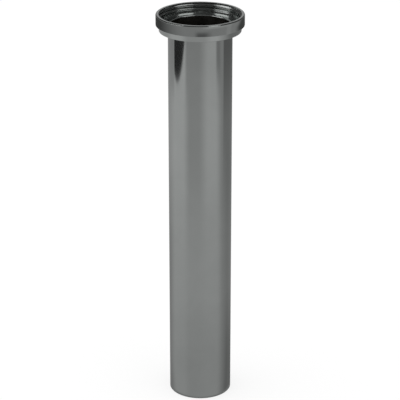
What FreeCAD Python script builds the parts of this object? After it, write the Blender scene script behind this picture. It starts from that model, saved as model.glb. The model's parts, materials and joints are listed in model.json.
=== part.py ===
# Basin waste tail pipe: a drawn brass tube with a turned collar brazed round its top end and plated over.
# The collar's socket screws up onto the threaded outlet of a basin waste, and the plain tail drops into a trap.
# Millimetres, +Z up the pipe, origin at the centre of the square-cut foot.

import FreeCAD
import Part
import Sketcher
import os

os.makedirs("parts", exist_ok=True)
doc = FreeCAD.newDocument("basin_waste_tail_pipe")

# Driving sizes in millimetres
SIZES = [
    ("overall_length", 205.0, "foot to rim"),
    ("tube_diameter", 32.0, "outside of the drawn tube"),
    ("tube_wall", 1.0, "wall of the drawn tube"),
    ("thread_major", 41.91, "full diameter of the pipe thread in the socket"),
    ("thread_depth", 1.479, "radial depth of that thread, from root to crest"),
    ("seat_depth", 5.2, "rim down to the flat sealing seat"),
    ("mouth_chamfer", 1.0, "countersink at the mouth of the socket"),
    ("floor_thickness", 3.4, "collar floor below the seat"),
    ("skirt_wall", 1.045, "skirt metal outside the thread"),
    ("step_depth", 1.55, "radial step from the skirt in to the boss"),
    ("boss_height", 2.95, "narrower lower band of the collar"),
    ("rim_radius", 0.7, "round on the outer edge of the rim"),
    ("edge_radius", 0.3, "round on the collar's lower edges"),
    ("braze_radius", 0.6, "brazed fillet between collar and tube"),
    ("lip_radius", 0.4, "round where the seat turns down into the waterway"),
    ("foot_radius", 0.25, "round on the outer edge of the foot"),
    ("foot_chamfer", 0.25, "reamed inner edge of the foot"),
]

sheet = doc.addObject("Spreadsheet::Sheet", "sizes")
for row, (alias, value, meaning) in enumerate(SIZES, start=1):
    sheet.set("A%d" % row, alias)
    sheet.set("B%d" % row, str(value))
    sheet.setAlias("B%d" % row, alias)
    sheet.set("C%d" % row, meaning)
doc.recompute()

# Places worked out from the driving sizes
TUBE_RADIUS = "sizes.tube_diameter / 2"
WATERWAY_RADIUS = "sizes.tube_diameter / 2 - sizes.tube_wall"
SOCKET_RADIUS = "sizes.thread_major / 2 - sizes.thread_depth"
SKIRT_RADIUS = "sizes.thread_major / 2 + sizes.skirt_wall"
BOSS_RADIUS = "sizes.thread_major / 2 + sizes.skirt_wall - sizes.step_depth"
RIM_HEIGHT = "sizes.overall_length"
SEAT_HEIGHT = "sizes.overall_length - sizes.seat_depth"
COLLAR_FOOT = "sizes.overall_length - sizes.seat_depth - sizes.floor_thickness"
STEP_HEIGHT = COLLAR_FOOT + " + sizes.boss_height"


def size(expression):
    """The present value of an expression, in millimetres."""
    return float(sheet.evalExpression(expression))


body = doc.addObject("PartDesign::Body", "tail_pipe")
body.Label = "tail_pipe"
planes = {plane.Role: plane for plane in body.Origin.OriginFeatures}


def new_sketch(name, plane):
    sketch = body.newObject("Sketcher::SketchObject", name)
    sketch.AttachmentSupport = [(planes[plane], "")]
    sketch.MapMode = "FlatFace"
    return sketch


def add_circle(sketch, name, radius):
    """A circle about the pipe's axis."""
    flat = Part.Circle(FreeCAD.Vector(0, 0, 0), FreeCAD.Vector(0, 0, 1), size(radius))
    circle = sketch.addGeometry(flat, False)
    sketch.addConstraint(Sketcher.Constraint("Coincident", circle, 3, -1, 1))
    sketch.addConstraint(Sketcher.Constraint("Radius", circle, size(radius)))
    sketch.renameConstraint(sketch.ConstraintCount - 1, name)
    sketch.setExpression("Constraints." + name, radius)


def add_section(sketch, corners):
    """A closed half-section; each corner is a name, a radius and a height."""
    points = [FreeCAD.Vector(size(radius), size(height), 0) for name, radius, height in corners]
    for start, end in zip(points, points[1:] + points[:1]):
        sketch.addGeometry(Part.LineSegment(start, end), False)
    for side in range(len(points)):
        following = (side + 1) % len(points)
        sketch.addConstraint(Sketcher.Constraint("Coincident", side, 2, following, 1))
    for side, (name, radius, height) in enumerate(corners):
        sketch.addConstraint(Sketcher.Constraint("DistanceX", -1, 1, side, 1, size(radius)))
        sketch.renameConstraint(sketch.ConstraintCount - 1, name + "_radius")
        sketch.setExpression("Constraints." + name + "_radius", radius)
        sketch.addConstraint(Sketcher.Constraint("DistanceY", -1, 1, side, 1, size(height)))
        sketch.renameConstraint(sketch.ConstraintCount - 1, name + "_height")
        sketch.setExpression("Constraints." + name + "_height", height)


def ring_edges(radius, height):
    """Names of the round edges of the body's tip at this radius and height."""
    doc.recompute()
    found = []
    for number, edge in enumerate(body.Tip.Shape.Edges, start=1):
        if not isinstance(edge.Curve, Part.Circle):
            continue
        same_radius = abs(edge.Curve.Radius - size(radius)) < 1e-4
        same_height = abs(edge.Curve.Center.z - size(height)) < 1e-4
        if same_radius and same_height:
            found.append("Edge%d" % number)
    if not found:
        raise RuntimeError("no edge at radius %s, height %s" % (radius, height))
    return found


def round_edges(name, places, alias):
    edges = [edge for radius, height in places for edge in ring_edges(radius, height)]
    base = body.Tip
    fillet = body.newObject("PartDesign::Fillet", name)
    fillet.Base = (base, edges)
    fillet.Radius = size("sizes." + alias)
    fillet.setExpression("Radius", "sizes." + alias)
    doc.recompute()


def break_edges(name, places, alias):
    edges = [edge for radius, height in places for edge in ring_edges(radius, height)]
    base = body.Tip
    chamfer = body.newObject("PartDesign::Chamfer", name)
    chamfer.Base = (base, edges)
    chamfer.Size = size("sizes." + alias)
    chamfer.setExpression("Size", "sizes." + alias)
    doc.recompute()


# Drawn tube, cut square at the foot; its top end finishes level with the seat
tube_ring = new_sketch("tube_ring", "XY_Plane")
add_circle(tube_ring, "outside", TUBE_RADIUS)
add_circle(tube_ring, "waterway", WATERWAY_RADIUS)
tube = body.newObject("PartDesign::Pad", "drawn_tube")
tube.Profile = tube_ring
tube.Length = size(SEAT_HEIGHT)
tube.setExpression("Length", SEAT_HEIGHT)
doc.recompute()

# Turned collar round the tube: a wide skirt above, stepping in to a narrower boss
collar_section = new_sketch("collar_section", "XZ_Plane")
add_section(collar_section, [
    ("collar_foot", TUBE_RADIUS, COLLAR_FOOT),
    ("boss_foot", BOSS_RADIUS, COLLAR_FOOT),
    ("boss_top", BOSS_RADIUS, STEP_HEIGHT),
    ("skirt_foot", SKIRT_RADIUS, STEP_HEIGHT),
    ("skirt_top", SKIRT_RADIUS, RIM_HEIGHT),
    ("collar_top", TUBE_RADIUS, RIM_HEIGHT),
])
collar = body.newObject("PartDesign::Revolution", "turned_collar")
collar.Profile = collar_section
collar.ReferenceAxis = (collar_section, ["V_Axis"])
collar.Angle = 360
doc.recompute()

# Socket bored down from the rim to the flat seat, at the crest diameter of its thread
socket_circle = new_sketch("socket_circle", "XY_Plane")
add_circle(socket_circle, "crests", SOCKET_RADIUS)
socket_circle.setExpression("AttachmentOffset.Base.z", RIM_HEIGHT)
doc.recompute()
volume_before_boring = body.Tip.Shape.Volume
socket = body.newObject("PartDesign::Pocket", "bored_socket")
socket.Profile = socket_circle
socket.Length = size("sizes.seat_depth")
socket.setExpression("Length", "sizes.seat_depth")
doc.recompute()
if not body.Tip.Shape.Volume < volume_before_boring:
    raise RuntimeError("the socket cuts nothing")

# Countersunk mouth, so that the waste finds the thread and starts cleanly
break_edges("mouth_countersink", [(SOCKET_RADIUS, RIM_HEIGHT)], "mouth_chamfer")

# Finished edges of the collar, the waterway and the foot
round_edges("rim_round", [(SKIRT_RADIUS, RIM_HEIGHT)], "rim_radius")
round_edges("collar_edges", [(SKIRT_RADIUS, STEP_HEIGHT), (BOSS_RADIUS, COLLAR_FOOT)], "edge_radius")
round_edges("braze_fillet", [(TUBE_RADIUS, COLLAR_FOOT)], "braze_radius")
round_edges("waterway_lip", [(WATERWAY_RADIUS, SEAT_HEIGHT)], "lip_radius")
round_edges("foot_round", [(TUBE_RADIUS, "0")], "foot_radius")
break_edges("foot_ream", [(WATERWAY_RADIUS, "0")], "foot_chamfer")

# One valid solid, written out under its own name
doc.recompute()
for item in doc.Objects:
    if "Invalid" in item.State or "Error" in item.State:
        raise RuntimeError("%s does not build" % item.Name)
shape = body.Shape
if shape.isNull() or not shape.isValid() or len(shape.Solids) != 1:
    raise RuntimeError("the tail pipe is not one valid solid")
shape.exportStep("parts/%s.step" % body.Label)
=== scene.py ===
# Basin waste tail pipe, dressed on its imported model.
# Metres, +Z up the pipe, origin at the centre of the foot.

import json
import math

import bmesh
import bpy
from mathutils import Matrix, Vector


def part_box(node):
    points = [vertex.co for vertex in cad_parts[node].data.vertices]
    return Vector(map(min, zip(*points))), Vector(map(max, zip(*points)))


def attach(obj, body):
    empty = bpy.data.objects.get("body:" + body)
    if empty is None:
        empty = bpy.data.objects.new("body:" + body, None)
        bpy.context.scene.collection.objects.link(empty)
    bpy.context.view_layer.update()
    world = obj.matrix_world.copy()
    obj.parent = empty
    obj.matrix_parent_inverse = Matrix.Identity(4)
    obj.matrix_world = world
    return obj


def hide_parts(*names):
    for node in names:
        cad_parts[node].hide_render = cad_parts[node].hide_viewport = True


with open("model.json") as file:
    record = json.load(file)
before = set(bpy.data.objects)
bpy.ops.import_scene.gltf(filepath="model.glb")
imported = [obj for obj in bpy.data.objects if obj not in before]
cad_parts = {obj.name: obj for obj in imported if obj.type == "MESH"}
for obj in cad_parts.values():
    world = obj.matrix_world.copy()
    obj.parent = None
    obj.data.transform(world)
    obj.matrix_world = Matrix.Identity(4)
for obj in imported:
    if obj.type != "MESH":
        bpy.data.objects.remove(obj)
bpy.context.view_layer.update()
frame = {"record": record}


# Tail pipe: a drawn brass tube with a turned collar brazed round its top end, all one piece.
# The collar's skirt is bored and threaded to screw up onto a basin waste, which seals on a flat seat inside.
# The whole pipe is buffed and plated, so the brazed joint shows only as a small fillet.
MM = 0.001
mounts = {mount["name"]: mount for mount in frame["record"]["mounts"]}
box_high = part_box("tail_pipe")[1]
waterway_radius = mounts["waterway"]["dims"]["r_mm"] * MM
tube_radius = mounts["tail"]["dims"]["r_mm"] * MM
crest_radius = mounts["waste_thread"]["dims"]["r_mm"] * MM
skirt_radius = box_high[0]
step_depth = 1.55 * MM
boss_radius = skirt_radius - step_depth
rim_height = box_high[2]
seat_height = mounts["seat"]["pos_m"][2]
floor_thickness = 3.4 * MM
boss_height = 2.95 * MM
collar_foot = seat_height - floor_thickness
step_height = collar_foot + boss_height
mouth_chamfer = 1.0 * MM
mouth_radius = crest_radius + mouth_chamfer
steps_round = 256
touching = 1e-6

pipe_mesh = bmesh.new()
half_section = [
    (waterway_radius, 0.0),
    (tube_radius, 0.0),
    (tube_radius, collar_foot),
    (boss_radius, collar_foot),
    (boss_radius, step_height),
    (skirt_radius, step_height),
    (skirt_radius, rim_height),
    (mouth_radius, rim_height),
    (crest_radius, rim_height - mouth_chamfer),
    (crest_radius, seat_height),
    (waterway_radius, seat_height),
]
corners = [pipe_mesh.verts.new((radius, 0.0, height)) for radius, height in half_section]
outline = [pipe_mesh.edges.new(pair) for pair in zip(corners, corners[1:] + corners[:1])]
bmesh.ops.spin(
    pipe_mesh, geom=corners + outline, cent=(0, 0, 0), axis=(0, 0, 1),
    angle=math.tau, steps=steps_round, use_merge=True,
)
bmesh.ops.remove_doubles(pipe_mesh, verts=pipe_mesh.verts[:], dist=touching)
bmesh.ops.recalc_face_normals(pipe_mesh, faces=pipe_mesh.faces[:])


def is_at(vertex, radius, height):
    return abs(vertex.co.xy.length - radius) < touching and abs(vertex.co.z - height) < touching


def ring_edges(radius, height):
    """The round edges of the pipe at this radius and height."""
    return [edge for edge in pipe_mesh.edges if all(is_at(v, radius, height) for v in edge.verts)]


def wall_edges(bottom, top):
    """The edges that run straight up the wall between two rings, each a radius and a height."""
    found = []
    for edge in pipe_mesh.edges:
        lower, upper = sorted(edge.verts, key=lambda v: v.co.z)
        if is_at(lower, *bottom) and is_at(upper, *top):
            found.append(edge)
    return found


# Edges of the collar, the waterway and the foot, rounded as the polishing wheel and the reamer leave them
foot_ream = 0.25 * MM
foot_round = 0.25 * MM
braze_fillet = 0.6 * MM
edge_round = 0.3 * MM
corner_round = 0.12 * MM
rim_round = 0.7 * MM
mouth_round = 0.3 * MM
lip_round = 0.4 * MM
for radius, height, size, steps in [
    (waterway_radius, 0.0, foot_ream, 1),
    (tube_radius, 0.0, foot_round, 4),
    (tube_radius, collar_foot, braze_fillet, 5),
    (boss_radius, collar_foot, edge_round, 4),
    (boss_radius, step_height, corner_round, 2),
    (skirt_radius, step_height, edge_round, 4),
    (skirt_radius, rim_height, rim_round, 7),
    (mouth_radius, rim_height, mouth_round, 4),
    (waterway_radius, seat_height, lip_round, 4),
]:
    bmesh.ops.bevel(
        pipe_mesh, geom=ring_edges(radius, height), offset=size, offset_type="OFFSET",
        affect="EDGES", segments=steps, profile=0.5, material=-1,
    )

# Rows along the tube, down the socket's wall and down its countersink
long_walls = [edge for edge in pipe_mesh.edges if abs(edge.verts[0].co.z - edge.verts[1].co.z) > 0.1]
bmesh.ops.subdivide_edges(pipe_mesh, edges=long_walls, cuts=15, use_grid_fill=True)
socket_wall = wall_edges((crest_radius, seat_height), (crest_radius, rim_height - mouth_chamfer))
bmesh.ops.subdivide_edges(pipe_mesh, edges=socket_wall, cuts=53, use_grid_fill=True)
countersink = []
for edge in pipe_mesh.edges:
    inner, outer = sorted(v.co.xy.length for v in edge.verts)
    in_the_mouth = min(v.co.z for v in edge.verts) > seat_height + 2 * MM
    if in_the_mouth and 0.6 * mouth_chamfer < outer - inner < 1.02 * mouth_chamfer:
        countersink.append(edge)
bmesh.ops.subdivide_edges(pipe_mesh, edges=countersink, cuts=20, use_grid_fill=True)

# Right-hand pipe thread, cut outwards from the socket's wall. It starts at the countersink, below a short
# plain entry, and runs out above the seat into a plain wall with a shallow relief.
plain_entry = 0.9 * MM
thread_depth = 1.479 * MM
thread_pitch = 2.309 * MM
thread_flank = math.radians(27.5)
thread_round = 0.1373 * thread_pitch
thread_start = 0.66
thread_lead_in = 0.6 * MM
thread_runout = 0.6 * MM
thread_burr = 0.16 * MM
plain_wall = 0.9 * MM
plain_taper = 0.14


def thread_form(turns_from_crest):
    """Depth of a 55 degree thread with round crests and roots, 0 at a crest and full half a turn on."""
    along = abs((turns_from_crest + 0.5) % 1.0 - 0.5) * thread_pitch
    along_from_root = thread_pitch / 2 - along
    round_half = thread_round * math.cos(thread_flank)
    if along < round_half:
        return thread_round - math.sqrt(thread_round ** 2 - along ** 2)
    if along_from_root < round_half:
        return thread_depth - thread_round + math.sqrt(thread_round ** 2 - along_from_root ** 2)
    flank_rise = 1 / math.tan(thread_flank)
    return thread_depth / 2 + (along - thread_pitch / 4) * flank_rise


for vertex in pipe_mesh.verts:
    radius = vertex.co.xy.length
    above_seat = vertex.co.z - seat_height
    below_rim = rim_height - vertex.co.z
    on_socket = crest_radius - touching < radius < mouth_radius
    if not on_socket or above_seat < touching or below_rim < touching:
        continue
    turns = math.atan2(vertex.co.y, vertex.co.x) / math.tau
    ends = min(1.0, max(0.0, above_seat - plain_wall) / thread_runout, below_rim / thread_lead_in)
    relief = plain_taper * max(0.0, min(above_seat, 2 * plain_wall - above_seat))
    cut = max(relief, thread_form(thread_start - turns - below_rim / thread_pitch) * ends)
    opening = max(0.0, min(mouth_chamfer, mouth_chamfer + plain_entry - below_rim))
    wall = max(radius, crest_radius + opening)
    rounding = min(thread_burr, wall - crest_radius)
    overlap = max(0.0, rounding - abs(crest_radius + cut - wall))
    softened = overlap ** 2 / (4 * rounding) if overlap > 0 else 0.0
    vertex.co.xy *= (max(wall, crest_radius + cut) + softened) / radius

# Bore and thread have their own finishes, and the bore's darker colour is partly painted shade; the rest is
# polished
bore_finish, thread_finish = 1, 2
for face in pipe_mesh.faces:
    face.smooth = True
    middle = face.calc_center_median()
    inside = middle.xy.length
    if inside < waterway_radius + 0.2 * MM and middle.z < seat_height - 0.5 * MM:
        face.material_index = bore_finish
    elif inside < crest_radius + thread_depth and middle.z > seat_height - 0.01 * MM:
        face.material_index = thread_finish

pipe_data = bpy.data.meshes.new("tail_pipe_plated")
pipe_mesh.to_mesh(pipe_data)
pipe_mesh.free()
pipe = bpy.data.objects.new("tail_pipe_plated", pipe_data)
bpy.context.scene.collection.objects.link(pipe)
pipe_data.set_sharp_from_angle(angle=math.radians(50))
flat_faces = pipe.modifiers.new("flat_faces", "WEIGHTED_NORMAL")
flat_faces.keep_sharp = True


def new_node(tree, kind, **settings):
    """A node with its settings and its input values, by name."""
    node = tree.nodes.new(kind)
    for name, value in settings.items():
        if name in node.inputs:
            node.inputs[name].default_value = value
        else:
            setattr(node, name, value)
    return node


# Marks of working in the metal, shared by the finishes: fine lines along the work and broad polishing smears
marks = bpy.data.node_groups.new("worked_metal", "ShaderNodeTree")
marks.interface.new_socket("Line Spacing", in_out="INPUT", socket_type="NodeSocketVector")
marks.interface.new_socket("Smear Scale", in_out="INPUT", socket_type="NodeSocketFloat")
marks.interface.new_socket("Lines", in_out="OUTPUT", socket_type="NodeSocketFloat")
marks.interface.new_socket("Smears", in_out="OUTPUT", socket_type="NodeSocketFloat")
entry = new_node(marks, "NodeGroupInput")
leave = new_node(marks, "NodeGroupOutput")
place = new_node(marks, "ShaderNodeTexCoord")
stretch = new_node(marks, "ShaderNodeVectorMath", operation="MULTIPLY")
line_noise = new_node(marks, "ShaderNodeTexNoise", Scale=1.0, Detail=4.0, Roughness=0.6)
smear_noise = new_node(marks, "ShaderNodeTexNoise", Detail=3.0, Roughness=0.55, Distortion=0.4)
marks.links.new(place.outputs["Object"], stretch.inputs[0])
marks.links.new(entry.outputs["Line Spacing"], stretch.inputs[1])
marks.links.new(stretch.outputs["Vector"], line_noise.inputs["Vector"])
marks.links.new(place.outputs["Object"], smear_noise.inputs["Vector"])
marks.links.new(entry.outputs["Smear Scale"], smear_noise.inputs["Scale"])
marks.links.new(line_noise.outputs["Fac"], leave.inputs["Lines"])
marks.links.new(smear_noise.outputs["Fac"], leave.inputs["Smears"])


def worked(tree, line_spacing, smear_scale):
    node = new_node(tree, "ShaderNodeGroup", node_tree=marks)
    node.inputs["Line Spacing"].default_value = line_spacing
    node.inputs["Smear Scale"].default_value = smear_scale
    return node


def plated_finish(name, tones, roughness, line_spacing, smear_scale, line_height):
    """Plated metal between two tones and two roughnesses, with lines left by working it."""
    material = bpy.data.materials.new(name)
    material.use_nodes = True
    tree = material.node_tree
    shader = tree.nodes["Principled BSDF"]
    shader.inputs["Metallic"].default_value = 1.0
    work = worked(tree, line_spacing, smear_scale)
    tone = new_node(tree, "ShaderNodeValToRGB")
    rough = new_node(tree, "ShaderNodeMapRange")
    smear_range = (0.3, 0.7)
    stops = tone.color_ramp.elements
    for end, stop, smear, colour, level in zip(("Min", "Max"), stops, smear_range, tones, roughness):
        stop.position = smear
        stop.color = colour
        rough.inputs["From " + end].default_value = smear
        rough.inputs["To " + end].default_value = level
    bump = new_node(tree, "ShaderNodeBump", Strength=0.5, Distance=line_height)
    tree.links.new(work.outputs["Smears"], tone.inputs["Fac"])
    tree.links.new(tone.outputs["Color"], shader.inputs["Base Color"])
    tree.links.new(work.outputs["Smears"], rough.inputs["Value"])
    tree.links.new(rough.outputs["Result"], shader.inputs["Roughness"])
    tree.links.new(work.outputs["Lines"], bump.inputs["Height"])
    tree.links.new(bump.outputs["Normal"], shader.inputs["Normal"])
    return material


polished_plate = plated_finish(
    "polished_plate", [(0.53, 0.55, 0.54, 1), (0.56, 0.58, 0.57, 1)], [0.05, 0.09],
    (500.0, 500.0, 5.0), 60.0, 0.004 * MM,
)
# The bore's plate is rougher, and darker and browner: its dark colour is partly painted shade down the bore
bore_plate_and_shade = plated_finish(
    "bore_plate_and_shade", [(0.20, 0.19, 0.165, 1), (0.30, 0.29, 0.265, 1)], [0.28, 0.42],
    (900.0, 900.0, 8.0), 90.0, 0.03 * MM,
)
thread_plate = plated_finish(
    "thread_plate", [(0.50, 0.52, 0.51, 1), (0.55, 0.57, 0.56, 1)], [0.13, 0.20],
    (60.0, 60.0, 2500.0), 120.0, 0.003 * MM,
)
for finish in (polished_plate, bore_plate_and_shade, thread_plate):
    pipe_data.materials.append(finish)
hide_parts("tail_pipe")
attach(pipe, "root")


# Floor: one wide plain white sheet that the pipe stands on.
# It shows white to the camera and in the plating, and keeps the pipe's soft shadow.
floor_reach = 6.0
floor_glow = 0.75
floor_mesh = bmesh.new()
bmesh.ops.create_grid(floor_mesh, x_segments=1, y_segments=1, size=floor_reach)
floor_data = bpy.data.meshes.new("floor")
floor_mesh.to_mesh(floor_data)
floor_mesh.free()
floor = bpy.data.objects.new("floor", floor_data)
floor.location.z = -0.1 * MM
bpy.context.scene.collection.objects.link(floor)
floor_white = bpy.data.materials.new("floor_white")
floor_white.use_nodes = True
tree = floor_white.node_tree
matt = tree.nodes["Principled BSDF"]
matt.inputs["Base Color"].default_value = (0.93, 0.93, 0.93, 1)
matt.inputs["Roughness"].default_value = 1.0
matt.inputs["Specular IOR Level"].default_value = 0.0
glow = new_node(tree, "ShaderNodeEmission", Strength=1.0)
ray = new_node(tree, "ShaderNodeLightPath")
seen = new_node(tree, "ShaderNodeMath", operation="ADD")
seen_all = new_node(tree, "ShaderNodeMath", operation="ADD", use_clamp=True)
share = new_node(tree, "ShaderNodeMath", operation="MULTIPLY")
share.inputs[1].default_value = floor_glow
blend = new_node(tree, "ShaderNodeMixShader")
tree.links.new(ray.outputs["Is Camera Ray"], seen.inputs[0])
tree.links.new(ray.outputs["Is Glossy Ray"], seen.inputs[1])
tree.links.new(seen.outputs[0], seen_all.inputs[0])
tree.links.new(ray.outputs["Is Transmission Ray"], seen_all.inputs[1])
tree.links.new(seen_all.outputs[0], share.inputs[0])
tree.links.new(share.outputs[0], blend.inputs["Fac"])
tree.links.new(matt.outputs["BSDF"], blend.inputs[1])
tree.links.new(glow.outputs["Emission"], blend.inputs[2])
tree.links.new(blend.outputs["Shader"], tree.nodes["Material Output"].inputs["Surface"])
floor_data.materials.append(floor_white)


# Reflection cards: a wide round card on the floor about the pipe, and small rings under the skirt and boss.
# They glow in soft grey bands that run outwards, and are seen only in the plating.
# There the bands are painted reflections: the stripes down the tube and the shading round the collar.
def only_in_reflections(card):
    card.visible_camera = False
    card.visible_diffuse = False
    card.visible_shadow = False
    card.visible_transmission = False
    card.visible_volume_scatter = False


def glowing(name):
    """A material that only glows, with its node tree and the socket for its tone."""
    material = bpy.data.materials.new(name)
    material.use_nodes = True
    tree = material.node_tree
    tree.nodes.remove(tree.nodes["Principled BSDF"])
    glow = new_node(tree, "ShaderNodeEmission", Strength=1.0)
    tree.links.new(glow.outputs["Emission"], tree.nodes["Material Output"].inputs["Surface"])
    return material, tree, glow.inputs["Color"]


def round_card(name, inner, outer, height, material):
    """A flat ring about the pipe's axis."""
    ring_mesh = bmesh.new()
    start = ring_mesh.verts.new((inner, 0, 0))
    end = ring_mesh.verts.new((outer, 0, 0))
    line = ring_mesh.edges.new((start, end))
    bmesh.ops.spin(
        ring_mesh, geom=[start, end, line], cent=(0, 0, 0), axis=(0, 0, 1),
        angle=math.tau, steps=96, use_merge=True,
    )
    bmesh.ops.recalc_face_normals(ring_mesh, faces=ring_mesh.faces[:])
    ring_data = bpy.data.meshes.new(name)
    ring_mesh.to_mesh(ring_data)
    ring_mesh.free()
    ring_data.materials.append(material)
    ring = bpy.data.objects.new(name, ring_data)
    ring.location.z = height
    bpy.context.scene.collection.objects.link(ring)
    only_in_reflections(ring)


def maths(operation, first, second=None):
    """One step of arithmetic in the present tree, on node outputs or plain numbers."""
    node = new_node(tree, "ShaderNodeMath", operation=operation)
    for socket, value in zip(node.inputs, (first, second)):
        if isinstance(value, (int, float)):
            socket.default_value = value
        elif value is not None:
            tree.links.new(value, socket)
    return node.outputs[0]


def soft_edge(value, start, end):
    """Rises smoothly from 0 at start to 1 at end."""
    node = new_node(tree, "ShaderNodeMapRange", interpolation_type="SMOOTHSTEP")
    node.inputs["From Min"].default_value = start
    node.inputs["From Max"].default_value = end
    tree.links.new(value, node.inputs["Value"])
    return node.outputs["Result"]


def band(value, rise, full, fade, gone):
    return maths("MULTIPLY", soft_edge(value, rise, full), soft_edge(value, gone, fade))


def tone_along(distance, *tones):
    """Grey at 20, 150, 400 and 640 mm along the floor from the pipe."""
    reaches = (0.02, 0.15, 0.40, 0.64)
    node = new_node(tree, "ShaderNodeValToRGB")
    ramp = node.color_ramp
    ramp.interpolation = "EASE"
    while len(ramp.elements) < len(tones):
        ramp.elements.new(0.5)
    for element, reach, grey in zip(ramp.elements, reaches, tones):
        element.position = reach
        element.color = (grey, grey, grey, 1)
    tree.links.new(distance, node.inputs["Fac"])
    return node.outputs["Color"]


def mixed(share, first, second):
    """first where share is 0, second where it is 1."""
    return maths("ADD", first, maths("MULTIPLY", share, maths("SUBTRACT", second, first)))


def places():
    """The object's own X, Y and Z in the present tree."""
    place = new_node(tree, "ShaderNodeTexCoord")
    axes = new_node(tree, "ShaderNodeSeparateXYZ")
    tree.links.new(place.outputs["Object"], axes.inputs["Vector"])
    return axes.outputs["X"], axes.outputs["Y"], axes.outputs["Z"]


def round_about(east, north, wall_radius):
    """Bearing and reach about the axis, and the degrees round that a polished wall shows it at.

    0 is towards the camera and positive to the right.
    """
    bearing = maths("ARCTAN2", east, maths("MULTIPLY", north, -1.0))
    reach_squared = maths("ADD", maths("MULTIPLY", east, east), maths("MULTIPLY", north, north))
    reach = maths("POWER", reach_squared, 0.5)
    closeness = maths("POWER", maths("DIVIDE", wall_radius, reach), 2.0)
    shown = maths("MULTIPLY", bearing, maths("ADD", closeness, 1.0))
    degrees = maths("MULTIPLY", shown, 180.0 / math.pi)
    return bearing, reach, degrees


def back_stripe(bearing, degrees):
    """A stripe behind the pipe, which stays straight in the plating when it is seen from behind."""
    from_back = maths("SUBTRACT", math.pi, maths("ABSOLUTE", bearing))
    return soft_edge(maths("MULTIPLY", from_back, maths("DIVIDE", degrees, bearing)), 24, 8)


# The floor card's glowing bands are painted reflections, seen down the tube
floor_card_painted_reflection, tree, card_tone = glowing("floor_card_painted_reflection")
east, north, _ = places()
bearing, reach, degrees = round_about(east, north, tube_radius)
half_turned = maths("COSINE", maths("MULTIPLY", bearing, 0.5))
run = maths("SUBTRACT", reach, maths("MULTIPLY", half_turned, 0.02))
far = soft_edge(run, 0.44, 0.56)
left_strip = mixed(far, soft_edge(degrees, -34, -66), soft_edge(degrees, -46, -60))
left_back = mixed(far, soft_edge(degrees, -98, -150), soft_edge(degrees, -100, -110))
right_side = mixed(far, soft_edge(degrees, 50, 92), soft_edge(degrees, 50, 82))
right_strip = mixed(far, band(degrees, -8, 32, 54, 88), band(degrees, -8, 32, 54, 74))
thin_line = maths("MULTIPLY", band(degrees, 54, 64, 70, 80), soft_edge(run, 0.50, 0.60))
# Painted shadow to the right-back, which the tube's right edge shows dark in its plating
reflected_shadow_side = mixed(soft_edge(run, 0.22, 0.50), soft_edge(degrees, 80, 118), soft_edge(degrees, 88, 94))
tones = tone_along(run, 0.345, 0.395, 0.335, 0.30)
tones = mixed(left_strip, tones, tone_along(run, 0.38, 0.43, 0.495, 0.50))
tones = mixed(left_back, tones, tone_along(run, 0.24, 0.25, 0.37, 0.30))
tones = mixed(right_side, tones, tone_along(run, 0.27, 0.31, 0.30, 0.28))
tones = mixed(right_strip, tones, tone_along(run, 0.355, 0.41, 0.47, 0.43))
tones = mixed(thin_line, tones, 0.22)
tones = mixed(reflected_shadow_side, tones, tone_along(run, 0.17, 0.25, 0.215, 0.132))
tones = mixed(back_stripe(bearing, degrees), tones, 0.47)
# Painted contact shadow close round the foot, seen in the plating at the bottom of the tube
tones = mixed(soft_edge(reach, 0.0185, 0.0165), tones, 0.24)

# Dark notch on the left, with its tip nearest the pipe: a painted reflection, which shows as the dark wedge
# below the collar
notch = maths("MULTIPLY", soft_edge(east, -0.528, -0.545), soft_edge(degrees, -107, -103))
notch = maths("MULTIPLY", notch, soft_edge(run, 0.90, 0.65))
tones = mixed(notch, tones, 0.027)
distant = maths("MULTIPLY", soft_edge(run, 0.7, 2.0), 0.25)
tree.links.new(mixed(distant, tones, 0.36), card_tone)
round_card("floor_card", 15.4 * MM, 3.2, 0.05 * MM, floor_card_painted_reflection)

# The ring under the skirt's edge, a painted reflection: dark at both ends, with a dark patch low down in
# front
skirt_card_painted_reflection, tree, card_tone = glowing("skirt_card_painted_reflection")
ring_reach = 0.1
ring_clearance = 0.4 * MM
east, north, _ = places()
_, reach, degrees = round_about(east, north, skirt_radius)
left_end = band(degrees, -220, -170, -140, -35)
low_down = soft_edge(reach, 0.034, 0.026)
right_end = mixed(low_down, band(degrees, 110, 146, 170, 220), band(degrees, 98, 132, 170, 220))
front_patch = maths("MULTIPLY", band(degrees, -18, -2, 8, 36), soft_edge(reach, 0.0345, 0.0255))
upper_right = maths("MULTIPLY", band(degrees, -4, 26, 80, 104), soft_edge(reach, 0.034, 0.039))
tones = mixed(left_end, 0.275, 0.06)
tones = mixed(band(degrees, 66, 76, 80, 92), tones, 0.33)
tones = mixed(upper_right, tones, 0.40)
tones = mixed(right_end, tones, 0.07)
tree.links.new(mixed(front_patch, tones, 0.115), card_tone)
round_card("skirt_card", skirt_radius + ring_clearance, ring_reach, step_height - 0.15 * MM, skirt_card_painted_reflection)

# The ring under the boss, a painted reflection, which shows the boss a little paler than the tube below it
boss_card_painted_reflection, tree, card_tone = glowing("boss_card_painted_reflection")
east, north, _ = places()
_, _, degrees = round_about(east, north, boss_radius)
tones = mixed(band(degrees, -112, -78, -58, -30), 0.385, 0.495)
tones = mixed(band(degrees, 8, 34, 44, 66), tones, 0.48)
tones = mixed(band(degrees, 60, 98, 170, 220), tones, 0.21)
tree.links.new(tones, card_tone)
round_card("boss_card", boss_radius + ring_clearance, ring_reach, collar_foot - 0.2 * MM, boss_card_painted_reflection)
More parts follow.
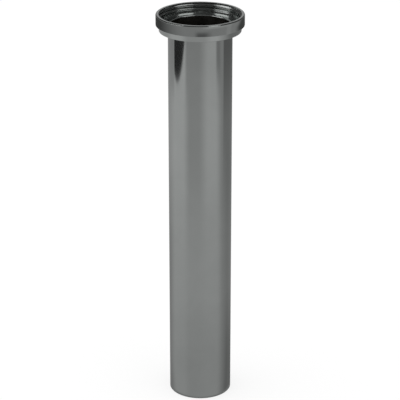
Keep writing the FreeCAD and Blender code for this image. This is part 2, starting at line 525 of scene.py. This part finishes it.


# Grey surround: four glowing walls and a ceiling, dim above and paler in stripes at the foot.
# It is seen only in the plating, as a painted reflection. The mouth looks up into it, so its thread shows
# dark between the lamps.
surround_width = 4.4
surround_height = 1.66
surround_painted_reflection, tree, card_tone = glowing("surround_painted_reflection")
east, north, up = places()
bearing, _, degrees = round_about(east, north, 0.0)
foot = mixed(band(degrees, -115, -98, -62, -45), 0.32, 0.47)
foot = mixed(band(degrees, -8, 30, 54, 74), foot, 0.42)
foot = mixed(band(degrees, 82, 98, 138, 150), foot, 0.17)
foot = mixed(back_stripe(bearing, degrees), foot, 0.46)
in_front = maths("MULTIPLY", band(degrees, -40, -8, 14, 46), soft_edge(up, 1.5, 0.9))
above = mixed(in_front, 0.065, 0.2)
tree.links.new(mixed(soft_edge(up, 0.52, 0.34), above, foot), card_tone)
walls_mesh = bmesh.new()
bmesh.ops.create_cube(walls_mesh, size=1.0)
bmesh.ops.scale(
    walls_mesh, vec=(surround_width, surround_width, surround_height), verts=walls_mesh.verts[:],
)
bmesh.ops.translate(walls_mesh, vec=(0, 0, 0.82), verts=walls_mesh.verts[:])
underside = [face for face in walls_mesh.faces if face.calc_center_median().z < 0]
bmesh.ops.delete(walls_mesh, geom=underside, context="FACES")
bmesh.ops.reverse_faces(walls_mesh, faces=walls_mesh.faces[:])
walls_data = bpy.data.meshes.new("grey_surround")
walls_mesh.to_mesh(walls_data)
walls_mesh.free()
walls_data.materials.append(surround_painted_reflection)
walls = bpy.data.objects.new("grey_surround", walls_data)
bpy.context.scene.collection.objects.link(walls)
only_in_reflections(walls)

# A paler slanted panel behind, glowing and seen only in the plating: a painted reflection, which the top of
# the rim shows
panel_mesh = bmesh.new()
bmesh.ops.create_grid(panel_mesh, x_segments=1, y_segments=1, size=0.5)
bmesh.ops.scale(panel_mesh, vec=(0.9, 1.8, 1.0), verts=panel_mesh.verts[:])
panel_data = bpy.data.meshes.new("back_panel")
panel_mesh.to_mesh(panel_data)
panel_mesh.free()
panel = bpy.data.objects.new("back_panel", panel_data)
panel.location = (0.0, 1.35, 1.1)
panel.rotation_euler.x = math.radians(146)
bpy.context.scene.collection.objects.link(panel)
only_in_reflections(panel)
panel_painted_reflection, tree, card_tone = glowing("panel_painted_reflection")
card_tone.default_value = (0.38, 0.38, 0.38, 1)
panel_data.materials.append(panel_painted_reflection)


# Lamps: soft boxes overhead and to either side, all turned to the collar, in an even white room.
# They sit at a plain level, so that the plating renders about as its colour is written.
def soft_box(name, across, along, where, radiance):
    """A soft box turned to the collar."""
    lamp = bpy.data.lights.new(name, "AREA")
    lamp.shape = "RECTANGLE"
    lamp.size = across
    lamp.size_y = along
    lamp.energy = radiance * math.pi * across * along
    holder = bpy.data.objects.new(name, lamp)
    holder.location = where
    to_collar = Vector((0, 0, rim_height)) - holder.location
    holder.rotation_euler = to_collar.to_track_quat("-Z", "Y").to_euler()
    bpy.context.scene.collection.objects.link(holder)


soft_box("left_overhead", 0.55, 0.65, (-0.74, 0.22, 1.3), 1.0)
soft_box("right_overhead", 0.5, 0.75, (0.58, -0.06, 1.3), 0.65)
soft_box("left_side", 1.3, 0.7, (-1.43, -0.46, 1.0), 1.25)
soft_box("right_front", 1.3, 0.6, (1.08, -1.04, 1.14), 1.1)

# Small dark flags held level out over the front of the rim, which they shade from the lamps
flag_height = rim_height + 9.8 * MM
flag_grey, tree, card_tone = glowing("flag_grey")
card_tone.default_value = (0.06, 0.06, 0.06, 1)


def flag(name, along, across, east, north, turn):
    flag_mesh = bmesh.new()
    bmesh.ops.create_grid(flag_mesh, x_segments=1, y_segments=1, size=0.5)
    bmesh.ops.scale(flag_mesh, vec=(along, across, 1.0), verts=flag_mesh.verts[:])
    flag_data = bpy.data.meshes.new(name)
    flag_mesh.to_mesh(flag_data)
    flag_mesh.free()
    flag_data.materials.append(flag_grey)
    holder = bpy.data.objects.new(name, flag_data)
    holder.location = (east, north, flag_height)
    holder.rotation_euler.z = math.radians(turn)
    bpy.context.scene.collection.objects.link(holder)
    only_in_reflections(holder)
    holder.visible_shadow = True


flag("left_flag", 34 * MM, 20 * MM, -30.0 * MM, -13.7 * MM, -35.4)
flag("right_flag", 30 * MM, 16 * MM, 28.2 * MM, -22.1 * MM, -38.0)

# The white room itself
room = bpy.data.worlds.new("white_room")
room.use_nodes = True
room_light = room.node_tree.nodes["Background"]
room_light.inputs["Color"].default_value = (1, 1, 1, 1)
room_light.inputs["Strength"].default_value = 1.0
bpy.context.scene.world = room


# Camera: a long lens that stands in front of the pipe and a little above its rim.
# It is tilted down, so that it looks into the collar's mouth.
camera_tilt = math.radians(90.0 - 22.141)
camera_data = bpy.data.cameras.new("camera")
camera_data.sensor_width = 36.0
camera_data.lens = 159.45
camera = bpy.data.objects.new("camera", camera_data)
camera.location = (-0.1 * MM, -0.83966, rim_height + 0.24281)
camera.rotation_euler = (camera_tilt, 0, 0)
bpy.context.scene.collection.objects.link(camera)
bpy.context.scene.camera = camera
bpy.context.scene.view_settings.view_transform = "Standard"
